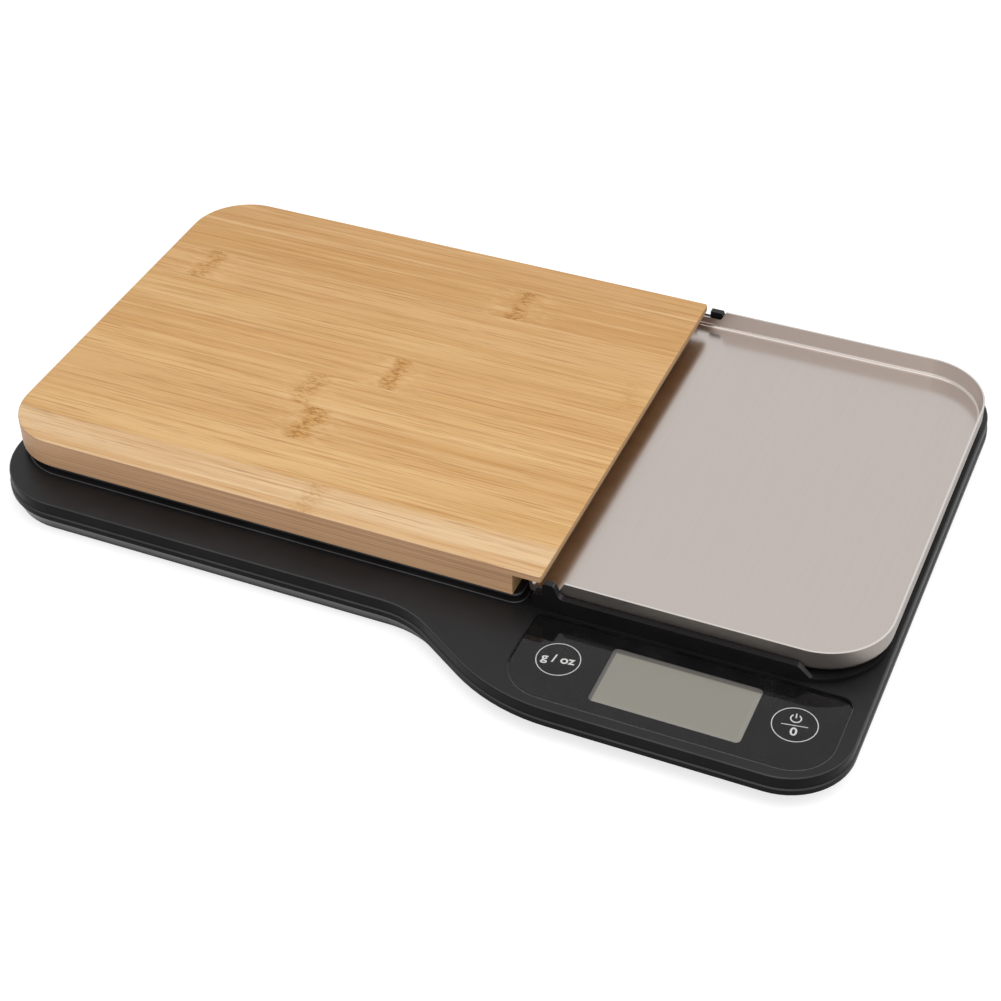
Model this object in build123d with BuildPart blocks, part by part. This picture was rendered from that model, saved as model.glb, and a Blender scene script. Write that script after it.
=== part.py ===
from build123d import *
from math import atan, degrees
import os

# Kitchen scale: a two-part plastic base carries a bamboo cutting board on the left and a
# weighed steel tray on the right, with a touch display in front of the tray.
# Millimetres, +Z up. The origin is on the table under the middle of the scale, +X runs from
# the board to the tray and +Y from the display to the back.

# Cutting board
board_length = 241.2
board_depth = 190.7
board_thickness = 12.4
board_corner = 25.5
board_end_corner = 1.2
board_edge = 0.5
lip_length = 11.5
lip_thickness = 2.8

# Steel tray
tray_length = 134.3
tray_depth = 189.2
tray_height = 9.2
tray_corner = 27.0
tray_end_corner = 3.0
tray_bend = 2.2
sheet = 0.7
lip_overlap = 7.0
left_wall_drop = 2.1
notch_inset = 2.2
notch_width = 10.8
notch_flare = 2.2
notch_depth = 4.4
notch_round = 1.6

# Base outline
foot_height = 1.0
lower_side = 6.0
lower_draft = 2.0
lower_step = 0.4
lower_front_step = 5.5
shelf = 1.0
upper_side = 8.0
skirt_height = 2.7
skirt_step = 0.5
skirt_slope = 45.0
top_edge = 0.8
wall = 2.0
base_margin = 1.9
board_overhang = 1.0
control_depth = 48.5
left_margin = 18.6
back_margin = 12.4
left_corner = 32.5
back_corner = 32.0
front_corner = 26.0
wave_lead = 45.8
wave_run = 46.6
wave_inner_radius = 38.0
wave_outer_radius = 75.0

# Plinth under the board
plinth_height = 3.0
plinth_inset = 0.2
plinth_left_inset = 6.0
plinth_corner = 22.0
plinth_end_corner = 4.0
plinth_end_gap = 1.5
plinth_edge = 0.5
plinth_foot = 0.6
plinth_foot_step = 1.6
plinth_foot_edge = 0.3
pad_proud = 0.4
pad_seat = 0.6
pad_diameter = 10.0
pad_inset = 24.0

# Tray cradle
cradle_wall = 2.7
cradle_rise = 7.1
cradle_low_rise = 1.9
cradle_corner = 28.0
cradle_right_inset = 1.0
cradle_start = 3.5
tray_clearance = 0.5
post_width = 4.2
post_rise = 13.0
post_gap = 0.7
post_foot = 2.6
post_back_drop = 2.3
post_round = 1.2
step_inset = 26.5
step_run = 5.0
step_round = 3.0

# Weighing platform
platform_margin_x = 12.0
platform_margin_y = 9.0
platform_corner = 12.0
platform_gap = 1.2
platform_plate = 2.0
platform_rib = 1.6
platform_rib_width = 1.4
platform_column_count = 4
platform_row_count = 5
platform_travel = 0.8
tub_floor_clearance = 0.6
hub_length = 20.0
hub_width = 18.0
tray_pad_diameter = 9.0
tray_pad_inset = 14.0

# Load cell and its fastenings
cell_length = 50.0
cell_width = 12.0
cell_height = 6.0
cell_bore = 4.4
cell_bore_pitch = 9.0
cell_slot = 1.6
cell_hole_inset = 5.0
cell_hole_pitch = 8.0
cell_plate = 1.2
cell_plate_length = 18.0
cell_plate_width = 16.0
cell_pedestal = 2.0
cell_window_gap = 4.0
cell_screw = 3.0
cell_screw_head = 5.6
cell_screw_head_height = 1.6
cell_screw_grip = 4.0
cell_head_sink = 1.8
gauge_length = 16.0
gauge_thickness = 1.2
gauge_height = 3.6

# Control panel
panel_gap = 1.8
panel_front_margin = 4.9
panel_left_inset = 6.1
panel_right_margin = 6.3
panel_back_corner = 5.0
panel_front_corner = 17.0
panel_fit = 0.15
lens = 1.2
lens_edge = 0.25
film_gap = 0.05
mask = 0.2
panel_web = 1.6
window_width = 57.6
window_depth = 28.8
window_corner = 2.0
window_right = 0.6
window_back = 0.7
key_offset = 44.9
key_back = 1.9
key_pad = 8.0
key_pad_gap = 0.5

# Display and circuit board
glass_border = 1.4
glass_thickness = 2.0
glass_fit = 0.3
glass_drop = 0.2
frame_rim = 3.0
frame_height = 1.6
zebra_width = 1.8
zebra_fit = 0.3
circuit_thickness = 1.6
circuit_margin_x = 10.0
circuit_depth = 33.0
circuit_corner = 2.0
circuit_boss = 5.0
circuit_boss_inset = 3.6
circuit_screw = 2.0
circuit_screw_head = 3.8
circuit_screw_head_height = 0.8
circuit_screw_grip = 1.8
chip_diameter = 7.0
chip_height = 1.4
chip_bevel = 0.8
chip_offset = 36.0

# Battery bay and door
aaa_diameter = 10.4
aaa_length = 44.5
aaa_nub = 3.8
aaa_nub_length = 0.9
aaa_pitch = 11.0
contact_depth = 3.0
contact_plate = 0.4
contact_width = 8.6
contact_height = 8.0
contact_tip = 3.2
contact_angle = 30.0
bay_fit = 0.3
bay_wall = 3.4
bay_roof = 1.4
bay_x = -70.0
bay_y = 40.0
door_thickness = 1.6
door_ledge = 2.8
door_fit = 0.25
door_travel = 6.0
door_pad = 1.6
tab_length = 8.0
tab_out = 1.2
tab_thickness = 0.8
tab_fit = 0.15
tab_inset = 6.0
grip_width = 1.2
grip_depth = 0.5
grip_pitch = 3.0
grip_count = 3
grip_length = 16.0
grip_inset = 10.0

# Housing screws, locating ring, ribs, feet and leads
boss_diameter = 7.0
boss_rise = 1.5
housing_screw = 2.4
housing_screw_head = 5.0
housing_screw_head_height = 1.8
housing_head_sink = 2.4
screw_fit = 0.1
head_fit = 0.3
screw_tip_gap = 0.5
ring_height = 0.9
ring_width = 1.2
ring_fit = 0.2
floor_rib = 1.2
floor_rib_rise = 1.8
floor_rib_count = 4
foot_diameter = 12.0
foot_seat = 0.6
foot_inset_x = 24.0
foot_inset_y = 22.0
foot_chamfer = 0.5
lead_diameter = 1.6
lead_bend = 10.0
lead_run = 30.0
lead_shift = 7.0

# Places along X
overall_length = board_length - lip_overlap + tray_length + base_margin
board_left = -overall_length / 2
board_right = board_left + board_length
tray_left = board_right - lip_overlap
tray_right = tray_left + tray_length
tray_x = (tray_left + tray_right) / 2
base_left = board_left + board_overhang
base_right = tray_right + base_margin
plinth_left = board_left + plinth_left_inset
plinth_right = tray_left - plinth_end_gap
cradle_left = tray_left + cradle_start
cradle_right = tray_right - cradle_right_inset
post_left = board_right + post_gap
step_x = cradle_right - step_inset
notch_left = tray_left + notch_inset
notch_right = notch_left + notch_width
panel_left = tray_left + panel_left_inset
panel_right = base_right - panel_right_margin
panel_x = (panel_left + panel_right) / 2

# Places along Y
base_depth = control_depth + board_depth + back_margin
base_front = -base_depth / 2
base_back = base_depth / 2
board_front = base_front + control_depth
board_back = board_front + board_depth
board_y = (board_front + board_back) / 2
left_front = board_front - left_margin
tray_front = board_front + cradle_wall + tray_clearance
tray_back = tray_front + tray_depth
tray_y = (tray_front + tray_back) / 2
cradle_back = tray_back + tray_clearance + cradle_wall
panel_back = board_front - panel_gap
panel_front = base_front + panel_front_margin
panel_y = (panel_front + panel_back) / 2
window_x = panel_x + window_right
window_y = panel_y + window_back

# Places along Z
base_bottom = foot_height
floor_top = base_bottom + wall
seam_z = base_bottom + lower_side
base_top = seam_z + upper_side
ceiling_z = base_top - wall
plinth_top = base_top + plinth_height
seat_z = plinth_top + pad_proud
board_top = seat_z + board_thickness
lip_bottom = board_top - lip_thickness
rim_z = seat_z + tray_height
notch_z = rim_z - notch_depth
cradle_low = base_top + cradle_low_rise
cradle_top = base_top + cradle_rise
post_top = base_top + post_rise
platform_top = seat_z - pad_proud
platform_under = platform_top - platform_plate
rib_bottom = platform_under - platform_rib
tub_floor = rib_bottom - platform_travel - tub_floor_clearance
cell_bottom = floor_top + cell_pedestal + cell_plate
cell_top = cell_bottom + cell_height
hub_bottom = cell_top + cell_plate
lens_bottom = base_top - lens
panel_floor = lens_bottom - film_gap - mask
panel_under = panel_floor - panel_web
glass_top = panel_floor - glass_drop
glass_bottom = glass_top - glass_thickness
circuit_top = glass_bottom - frame_height
circuit_bottom = circuit_top - circuit_thickness
lead_z = (circuit_top + circuit_bottom) / 2

# Weighing platform and load cell
platform_length = tray_length - 2 * platform_margin_x
platform_depth = tray_depth - 2 * platform_margin_y
rib_pitch_x = (platform_length - 2 * platform_corner) / (platform_column_count - 1)
rib_pitch_y = (platform_depth - 2 * platform_corner) / (platform_row_count - 1)
cell_fixed_x = tray_x - cell_length / 2 + cell_hole_inset + cell_hole_pitch / 2
cell_free_x = tray_x + cell_length / 2 - cell_hole_inset - cell_hole_pitch / 2
cell_fixed_places = [(cell_fixed_x + side * cell_hole_pitch / 2, tray_y) for side in (-1, 1)]
cell_free_places = [(cell_free_x + side * cell_hole_pitch / 2, tray_y) for side in (-1, 1)]
gauge_front = tray_y - cell_width / 2 - gauge_thickness

# Display, keys and circuit board
key_y = panel_y + key_back
key_places = [(panel_x - key_offset, key_y), (panel_x + key_offset, key_y)]
glass_length = window_width + 2 * glass_border
glass_depth = window_depth + 2 * glass_border
circuit_length = panel_right - panel_left - 2 * circuit_margin_x
circuit_left = panel_x - circuit_length / 2
circuit_back = panel_y + circuit_depth / 2
circuit_screw_places = [
    (panel_x + side_x * (circuit_length / 2 - circuit_boss_inset),
     panel_y + side_y * (circuit_depth / 2 - circuit_boss_inset))
    for side_x in (-1, 1)
    for side_y in (-1, 1)
]

# Battery bay and door
bay_length = aaa_length + 2 * contact_depth
bay_width = aaa_pitch + aaa_diameter + 2 * bay_fit
bay_end = bay_x + bay_length / 2 + bay_wall
door_top = base_bottom + door_thickness
bay_mouth_z = door_top + door_fit
aaa_z = bay_mouth_z + bay_fit + aaa_diameter / 2
bay_ceiling = aaa_z + aaa_diameter / 2 + bay_fit
door_length = bay_length + 2 * door_ledge
door_width = bay_width + 2 * door_ledge
recess_length = door_length + door_travel + 2 * door_fit
recess_width = door_width + 2 * door_fit
recess_x = bay_x + door_travel / 2
aaa_places = [(bay_y - aaa_pitch / 2, aaa_z), (bay_y + aaa_pitch / 2, aaa_z)]
tab_places = [
    (bay_x + side_x * (door_length / 2 - tab_inset - tab_length / 2),
     bay_y + side_y * (door_width + tab_out) / 2)
    for side_x in (-1, 1)
    for side_y in (-1, 1)
]

# Screws, feet and pads
ring_inset = wall + ring_fit
front_strip_y = (left_front + board_front) / 2
back_strip_y = board_back - plinth_inset + boss_diameter / 2
tray_strip_y = (board_front + tray_y - platform_depth / 2 - platform_gap - wall) / 2
screw_places = [
    (base_left + left_corner + boss_diameter, front_strip_y),
    (bay_x + bay_length, front_strip_y),
    (base_left + left_corner + boss_diameter, back_strip_y),
    (bay_x + bay_length, back_strip_y),
    (panel_left + boss_diameter, tray_strip_y),
    (cradle_right - 2 * boss_diameter, tray_strip_y),
    (panel_left + boss_diameter, back_strip_y),
    (base_right - back_corner, back_strip_y),
]
foot_places = [
    (base_left + foot_inset_x, left_front + foot_inset_y),
    (base_left + foot_inset_x, base_back - foot_inset_y),
    (base_right - foot_inset_x, base_front + foot_inset_y),
    (base_right - foot_inset_x, base_back - foot_inset_y),
]
board_pad_places = [
    (x, y)
    for x in (plinth_left + pad_inset, plinth_right - pad_inset)
    for y in (board_front + pad_inset, board_back - pad_inset)
]
tray_pad_places = [
    (tray_x + side_x * (platform_length / 2 - tray_pad_inset),
     tray_y + side_y * (platform_depth / 2 - tray_pad_inset))
    for side_x in (-1, 1)
    for side_y in (-1, 1)
]


def base_outline(inset=0.0, front_step=0.0, mode=Mode.ADD):
    """Outline of the base with its wave, drawn in by inset and set back under the control panel."""
    with BuildSketch(mode=Mode.PRIVATE) as outline:
        with BuildLine():
            FilletPolyline(
                (base_left, left_front),
                (panel_left - wave_lead, left_front),
                (panel_left - wave_lead + wave_run, base_front + front_step),
                (base_right, base_front + front_step),
                (base_right, base_back),
                (base_left, base_back),
                radius=[
                    left_corner, wave_inner_radius, wave_outer_radius,
                    front_corner, back_corner, back_corner,
                ],
                close=True,
            )
        make_face()
        if inset > 0:
            offset(amount=-inset)
    add(outline.sketch, mode=mode)


def rounded_outline(left, right, front, back, corners):
    """Rectangle with radii for its front left, front right, back right and back left corners."""
    with BuildLine() as edge:
        FilletPolyline(
            (left, front), (right, front), (right, back), (left, back),
            radius=corners,
            close=True,
        )
    make_face(edge.edges())


def plinth_outline(inset=0.0):
    """Plinth under the board, drawn in by inset."""
    left = plinth_corner - inset
    end = plinth_end_corner - inset
    rounded_outline(
        plinth_left + inset, plinth_right - inset,
        board_front + plinth_inset + inset, board_back - plinth_inset - inset,
        [left, end, end, left],
    )


def panel_outline(grow=0.0):
    """Control panel, tight at its back corners and wide at its front ones."""
    front = panel_front_corner + grow
    back = panel_back_corner + grow
    rounded_outline(
        panel_left - grow, panel_right + grow, panel_front - grow, panel_back + grow,
        [front, front, back, back],
    )


def platform_outline(grow=0.0):
    """Weighing platform under the tray, grown for the well that it sits in."""
    with Locations((tray_x, tray_y)):
        RectangleRounded(
            platform_length + 2 * grow, platform_depth + 2 * grow, platform_corner + grow
        )


def pillars(places, radius, low, high, mode=Mode.ADD):
    """Round pillars or holes at each place, from one height to another."""
    with BuildSketch(Plane.XY.offset(low)) as ends:
        with Locations(*places):
            Circle(radius)
    extrude(ends.sketch, amount=high - low, mode=mode)


def block(x, y, length, depth, low, high, mode=Mode.ADD):
    """Upright block centred on a place, from one height to another."""
    with BuildSketch(Plane.XY.offset(low)) as end:
        with Locations((x, y)):
            Rectangle(length, depth)
    extrude(end.sketch, amount=high - low, mode=mode)


def screws(places, seat, head_diameter, head_height, shank_diameter, tip):
    """Pan-head screws whose heads rest at seat and whose shanks run to the height of their tips."""
    pillars(places, head_diameter / 2, seat, seat + head_height)
    pillars(places, shank_diameter / 2, seat, tip)


def lead(points):
    """Round lead laid level through the base, with wide bends."""
    with BuildLine(Plane.XY.offset(lead_z)) as route:
        FilletPolyline(*points, radius=lead_bend)
    with BuildSketch(Plane(origin=route.line @ 0, z_dir=route.line % 0)) as section:
        Circle(lead_diameter / 2)
    sweep(section.sketch, path=route.line)


# Front and back walls of the cradle, each with a post that stops the board's lip and a
# step down at the right that leaves room for a finger under the tray
with BuildPart() as cradle:
    with BuildSketch(Plane.XY.offset(base_top)):
        rounded_outline(
            cradle_left, cradle_right, board_front, cradle_back,
            [0, cradle_corner, cradle_corner, 0],
        )
    extrude(amount=post_rise)
    block(
        tray_x, tray_y, 2 * tray_length, tray_depth + 2 * tray_clearance,
        cradle_low, post_top, mode=Mode.SUBTRACT,
    )
    with BuildSketch(Plane.XZ.offset(-base_back)):
        with BuildLine():
            FilletPolyline(
                (cradle_left, base_top),
                (cradle_left, cradle_top),
                (post_left, cradle_top),
                (post_left, post_top),
                (post_left + post_width, post_top),
                (post_left + post_width + post_foot, cradle_top),
                (step_x, cradle_top),
                (step_x + step_run, cradle_low),
                (base_right, cradle_low),
                (base_right, base_top),
                radius=[
                    0, post_round, 0, post_round, post_round, post_foot,
                    step_round, step_round, 0, 0,
                ],
                close=True,
            )
        make_face()
    extrude(amount=base_depth, mode=Mode.INTERSECT)
    block(
        post_left, cradle_back, 2 * (post_width + post_foot), 4 * cradle_wall,
        post_top - post_back_drop, post_top, mode=Mode.SUBTRACT,
    )

# Upper shell: skirt with a sloped edge, deck, board plinth, tray cradle and its well, panel recess,
# bosses, and a shelf that closes it below where the lower shell is set back under the panel
with BuildPart() as top_cover:
    with BuildSketch(Plane.XY.offset(seam_z)):
        base_outline()
    extrude(amount=skirt_height - skirt_step)
    with BuildSketch(Plane.XY.offset(seam_z + skirt_height - skirt_step)):
        base_outline()
    extrude(amount=skirt_step, taper=skirt_slope)
    with BuildSketch(Plane.XY.offset(seam_z + skirt_height)):
        base_outline(skirt_step)
    extrude(amount=upper_side - skirt_height)
    fillet(top_cover.faces().sort_by(Axis.Z)[-1].edges(), top_edge)
    with BuildSketch(Plane.XY.offset(base_top)):
        plinth_outline(-plinth_foot_step)
    extrude(amount=plinth_foot)
    chamfer(top_cover.faces().sort_by(Axis.Z)[-1].edges(), plinth_foot_edge)
    with BuildSketch(Plane.XY.offset(base_top)):
        plinth_outline()
    extrude(amount=plinth_height)
    chamfer(top_cover.faces().sort_by(Axis.Z)[-1].edges(), plinth_edge)
    add(cradle.part)
    with BuildSketch(Plane.XY.offset(seam_z)):
        base_outline(wall, lower_front_step)
    extrude(amount=shelf, mode=Mode.SUBTRACT)
    with BuildSketch(Plane.XY.offset(seam_z + shelf)):
        base_outline(skirt_step + wall)
    extrude(amount=ceiling_z - seam_z - shelf, mode=Mode.SUBTRACT)
    with BuildSketch(Plane.XY.offset(ceiling_z)):
        plinth_outline(wall)
    extrude(amount=plinth_height, mode=Mode.SUBTRACT)
    with BuildSketch(Plane.XY.offset(tub_floor - wall)):
        platform_outline(platform_gap + wall)
    extrude(amount=base_top - tub_floor)
    with BuildSketch(Plane.XY.offset(tub_floor)):
        platform_outline(platform_gap)
    extrude(amount=cradle_low - tub_floor, mode=Mode.SUBTRACT)
    block(
        tray_x, tray_y, cell_length + 2 * cell_window_gap, cell_plate_width + 2 * cell_window_gap,
        tub_floor - wall, tub_floor, mode=Mode.SUBTRACT,
    )
    with BuildSketch(Plane.XY.offset(panel_under)):
        panel_outline(wall)
    extrude(amount=ceiling_z - panel_under)
    with BuildSketch(Plane.XY.offset(panel_floor)):
        panel_outline(panel_fit)
    extrude(amount=base_top - panel_floor, mode=Mode.SUBTRACT)
    block(
        window_x, window_y, glass_length + 2 * glass_fit, glass_depth + 2 * glass_fit,
        panel_under, panel_floor, mode=Mode.SUBTRACT,
    )
    pillars(key_places, key_pad / 2 + key_pad_gap, panel_under, panel_floor, mode=Mode.SUBTRACT)
    pillars(screw_places, boss_diameter / 2, seam_z + boss_rise, ceiling_z)
    pillars(
        screw_places, housing_screw / 2 + screw_fit, seam_z + boss_rise, ceiling_z,
        mode=Mode.SUBTRACT,
    )
    pillars(circuit_screw_places, circuit_boss / 2, circuit_top, panel_under)
    pillars(
        circuit_screw_places, circuit_screw / 2 + screw_fit, circuit_top, panel_under,
        mode=Mode.SUBTRACT,
    )
    pillars(board_pad_places, pad_diameter / 2, plinth_top - pad_seat, plinth_top, mode=Mode.SUBTRACT)

# Lower shell: drafted sides, locating ring, floor ribs, load cell pedestal and battery bay
with BuildPart() as bottom_cover:
    with BuildSketch(Plane.XY.offset(seam_z)):
        base_outline(lower_step, lower_front_step)
    extrude(amount=-lower_side, taper=degrees(atan(lower_draft / lower_side)))
    with BuildSketch(Plane.XY.offset(floor_top)):
        base_outline(lower_step + lower_draft + wall, lower_front_step)
    extrude(amount=seam_z - floor_top, mode=Mode.SUBTRACT)
    with BuildSketch(Plane.XY.offset(seam_z)):
        base_outline(ring_inset, lower_front_step)
        base_outline(ring_inset + ring_width, lower_front_step, mode=Mode.SUBTRACT)
    extrude(amount=ring_height)
    with BuildSketch(Plane.XY.offset(floor_top)):
        with Locations((0, board_y)):
            with GridLocations(0, board_depth / floor_rib_count, 1, floor_rib_count):
                Rectangle(base_right - base_left - 2 * left_corner, floor_rib)
    extrude(amount=floor_rib_rise)
    block(
        cell_fixed_x, tray_y, cell_plate_length, cell_plate_width,
        floor_top, floor_top + cell_pedestal,
    )
    pillars(screw_places, boss_diameter / 2, floor_top, seam_z + boss_rise)
    block(
        recess_x, bay_y, recess_length + 2 * door_pad, recess_width + 2 * (tab_out + door_pad),
        base_bottom, bay_mouth_z + door_pad,
    )
    block(
        bay_x, bay_y, bay_length + 2 * bay_wall, bay_width + 2 * bay_wall,
        base_bottom, bay_ceiling + bay_roof,
    )
    block(bay_x, bay_y, bay_length, bay_width, base_bottom, bay_ceiling, mode=Mode.SUBTRACT)
    block(
        recess_x, bay_y, recess_length, recess_width, base_bottom, bay_mouth_z, mode=Mode.SUBTRACT
    )
    for tab_x, tab_y in tab_places:
        block(
            tab_x + door_travel / 2, tab_y,
            tab_length + door_travel + 2 * door_fit, tab_out + 2 * door_fit,
            door_top - tab_thickness - tab_fit, bay_mouth_z, mode=Mode.SUBTRACT,
        )
        block(
            tab_x + door_travel, tab_y, tab_length + 2 * door_fit, tab_out + 2 * door_fit,
            base_bottom, bay_mouth_z, mode=Mode.SUBTRACT,
        )
    pillars(
        screw_places, housing_screw / 2 + screw_fit, base_bottom, seam_z + boss_rise,
        mode=Mode.SUBTRACT,
    )
    pillars(
        screw_places, housing_screw_head / 2 + head_fit, base_bottom, base_bottom + housing_head_sink,
        mode=Mode.SUBTRACT,
    )
    pillars(
        cell_fixed_places, cell_screw / 2 + screw_fit, base_bottom, floor_top + cell_pedestal,
        mode=Mode.SUBTRACT,
    )
    pillars(
        cell_fixed_places, cell_screw_head / 2 + head_fit, base_bottom, base_bottom + cell_head_sink,
        mode=Mode.SUBTRACT,
    )
    pillars(foot_places, foot_diameter / 2, base_bottom, base_bottom + foot_seat, mode=Mode.SUBTRACT)

# Rubber feet that stick in their seats under the base
with BuildPart() as rubber_feet:
    pillars(foot_places, foot_diameter / 2, 0, base_bottom + foot_seat)
    chamfer(rubber_feet.edges().group_by(Axis.Z)[0], foot_chamfer)

# Screws that hold the two shells together
with BuildPart() as housing_screws:
    screws(
        screw_places, base_bottom + housing_head_sink, housing_screw_head, -housing_screw_head_height,
        housing_screw, ceiling_z - screw_tip_gap,
    )

# Control panel: clear lens on a printed mask with the display's window
with BuildPart() as panel_lens:
    with BuildSketch(Plane.XY.offset(lens_bottom)):
        panel_outline()
    extrude(amount=lens)
    chamfer(panel_lens.faces().sort_by(Axis.Z)[-1].edges(), lens_edge)

with BuildPart() as panel_mask:
    with BuildSketch(Plane.XY.offset(panel_floor)):
        panel_outline()
        with Locations((window_x, window_y)):
            RectangleRounded(window_width, window_depth, window_corner, mode=Mode.SUBTRACT)
    extrude(amount=mask)

# Liquid-crystal display on its frame, with the elastic strip that connects it
with BuildPart() as lcd_glass:
    block(window_x, window_y, glass_length, glass_depth, glass_bottom, glass_top)

with BuildPart() as lcd_frame:
    block(window_x, window_y, glass_length, glass_depth, circuit_top, glass_bottom)
    block(
        window_x, window_y, glass_length - 2 * frame_rim, glass_depth - 2 * frame_rim,
        circuit_top, glass_bottom, mode=Mode.SUBTRACT,
    )

with BuildPart() as lcd_connector:
    block(
        window_x, window_y - glass_depth / 2 + frame_rim + zebra_fit + zebra_width / 2,
        glass_length - 2 * frame_rim - 2 * zebra_fit, zebra_width, circuit_top, glass_bottom,
    )

# Circuit board with its processor and the two touch pads under the printed keys
with BuildPart() as circuit_board:
    with BuildSketch(Plane.XY.offset(circuit_bottom)):
        with Locations((panel_x, panel_y)):
            RectangleRounded(circuit_length, circuit_depth, circuit_corner)
    extrude(amount=circuit_thickness)
    pillars(
        circuit_screw_places, circuit_screw / 2 + screw_fit, circuit_bottom, circuit_top,
        mode=Mode.SUBTRACT,
    )

with BuildPart() as circuit_screws:
    screws(
        circuit_screw_places, circuit_bottom, circuit_screw_head, -circuit_screw_head_height,
        circuit_screw, circuit_top + circuit_screw_grip,
    )

with BuildPart() as processor:
    pillars(
        [(panel_x - chip_offset, panel_y)], chip_diameter / 2, circuit_top, circuit_top + chip_height
    )
    chamfer(processor.edges().group_by(Axis.Z)[-1], chip_bevel)

with BuildPart() as touch_pads:
    pillars(key_places, key_pad / 2, circuit_top, panel_floor)

# Load cell: a bar thinned by a double bore, fixed at its left end and free at its right
with BuildPart() as load_cell:
    block(tray_x, tray_y, cell_length, cell_width, cell_bottom, cell_top)
    with BuildSketch(Plane.XZ.offset(-tray_y - cell_width / 2)):
        with Locations((tray_x, cell_bottom + cell_height / 2)):
            Rectangle(cell_bore_pitch, cell_slot)
            with GridLocations(cell_bore_pitch, 0, 2, 1):
                Circle(cell_bore / 2)
    extrude(amount=cell_width, mode=Mode.SUBTRACT)
    pillars(
        cell_fixed_places + cell_free_places, cell_screw / 2 + screw_fit, cell_bottom, cell_top,
        mode=Mode.SUBTRACT,
    )

with BuildPart() as strain_gauge:
    block(
        tray_x, tray_y - cell_width / 2 - gauge_thickness / 2, gauge_length, gauge_thickness,
        cell_bottom + (cell_height - gauge_height) / 2, cell_top - (cell_height - gauge_height) / 2,
    )

with BuildPart() as cell_base_plate:
    block(
        cell_fixed_x, tray_y, cell_plate_length, cell_plate_width,
        cell_bottom - cell_plate, cell_bottom,
    )
    pillars(
        cell_fixed_places, cell_screw / 2 + screw_fit, cell_bottom - cell_plate, cell_bottom,
        mode=Mode.SUBTRACT,
    )

with BuildPart() as cell_base_screws:
    screws(
        cell_fixed_places, base_bottom + cell_head_sink, cell_screw_head, -cell_screw_head_height,
        cell_screw, cell_bottom + cell_screw_grip,
    )

with BuildPart() as cell_top_plate:
    block(cell_free_x, tray_y, cell_plate_length, cell_plate_width, cell_top, hub_bottom)
    pillars(
        cell_free_places, cell_screw / 2 + screw_fit, cell_top, hub_bottom, mode=Mode.SUBTRACT
    )

# Weighing platform: ribbed plate in the cradle's well, with a hub on the load cell's free end
with BuildPart() as weighing_platform:
    with BuildSketch(Plane.XY.offset(platform_under)):
        platform_outline()
    extrude(amount=platform_plate)
    with BuildSketch(Plane.XY.offset(rib_bottom)):
        with Locations((tray_x, tray_y)):
            with GridLocations(rib_pitch_x, 0, platform_column_count, 1):
                Rectangle(platform_rib_width, platform_depth - 2 * platform_corner)
            with GridLocations(0, rib_pitch_y, 1, platform_row_count):
                Rectangle(platform_length - 2 * platform_corner, platform_rib_width)
    extrude(amount=platform_rib)
    block(cell_free_x, tray_y, hub_length, hub_width, hub_bottom, platform_under)
    pillars(
        cell_free_places, cell_screw / 2 + screw_fit, hub_bottom, platform_top, mode=Mode.SUBTRACT
    )
    pillars(
        cell_free_places, cell_screw_head / 2 + head_fit, platform_top - cell_head_sink, platform_top,
        mode=Mode.SUBTRACT,
    )
    pillars(
        tray_pad_places, tray_pad_diameter / 2, platform_top - pad_seat, platform_top,
        mode=Mode.SUBTRACT,
    )

with BuildPart() as platform_screws:
    screws(
        cell_free_places, platform_top - cell_head_sink, cell_screw_head, cell_screw_head_height,
        cell_screw, cell_top - cell_screw_grip,
    )

with BuildPart() as tray_pads:
    pillars(tray_pad_places, tray_pad_diameter / 2, platform_top - pad_seat, seat_z)

# Steel tray: a drawn pan, notched beside the posts and lower at its left end under the lip
with BuildPart() as steel_tray:
    with BuildSketch(Plane.XY.offset(seat_z)):
        rounded_outline(
            tray_left, tray_right, tray_front, tray_back,
            [tray_end_corner, tray_corner, tray_corner, tray_end_corner],
        )
    extrude(amount=tray_height)
    fillet(steel_tray.faces().sort_by(Axis.Z)[0].edges(), tray_bend)
    offset(amount=-sheet, openings=steel_tray.faces().sort_by(Axis.Z)[-1])
    with BuildSketch(Plane.XZ.offset(-tray_back - tray_clearance)):
        with BuildLine():
            FilletPolyline(
                (notch_left, rim_z),
                (notch_left, notch_z),
                (notch_right, notch_z),
                (notch_right + notch_flare, rim_z),
                radius=[0, notch_round, notch_round, 0],
                close=True,
            )
        make_face()
    extrude(amount=tray_depth + 2 * tray_clearance, mode=Mode.SUBTRACT)
    block(
        tray_left, tray_y, 2 * notch_inset, tray_depth, rim_z - left_wall_drop, rim_z,
        mode=Mode.SUBTRACT,
    )

# Cutting board with the thin lip that reaches over the tray
with BuildPart() as cutting_board:
    with BuildSketch(Plane.XY.offset(seat_z)):
        rounded_outline(
            board_left, board_right, board_front, board_back,
            [board_corner, board_end_corner, board_end_corner, board_corner],
        )
    extrude(amount=board_thickness)
    fillet(cutting_board.faces().sort_by(Axis.Z)[-1].edges(), board_edge)
    block(board_right, board_y, 2 * lip_length, board_depth, seat_z, lip_bottom, mode=Mode.SUBTRACT)

with BuildPart() as board_pads:
    pillars(board_pad_places, pad_diameter / 2, plinth_top - pad_seat, seat_z)

# Battery bay: two cells between a bridge contact and two lead contacts, and the sliding door
with BuildPart() as batteries:
    for (aaa_y, _), way in zip(aaa_places, (1, -1)):
        start_x = bay_x - way * aaa_length / 2
        shoulder_x = start_x + way * (aaa_length - aaa_nub_length)
        with BuildSketch(Plane.YZ.offset(start_x)):
            with Locations((aaa_y, aaa_z)):
                Circle(aaa_diameter / 2)
        extrude(amount=shoulder_x - start_x)
        with BuildSketch(Plane.YZ.offset(shoulder_x)):
            with Locations((aaa_y, aaa_z)):
                Circle(aaa_nub / 2)
        extrude(amount=way * aaa_nub_length)

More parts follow.
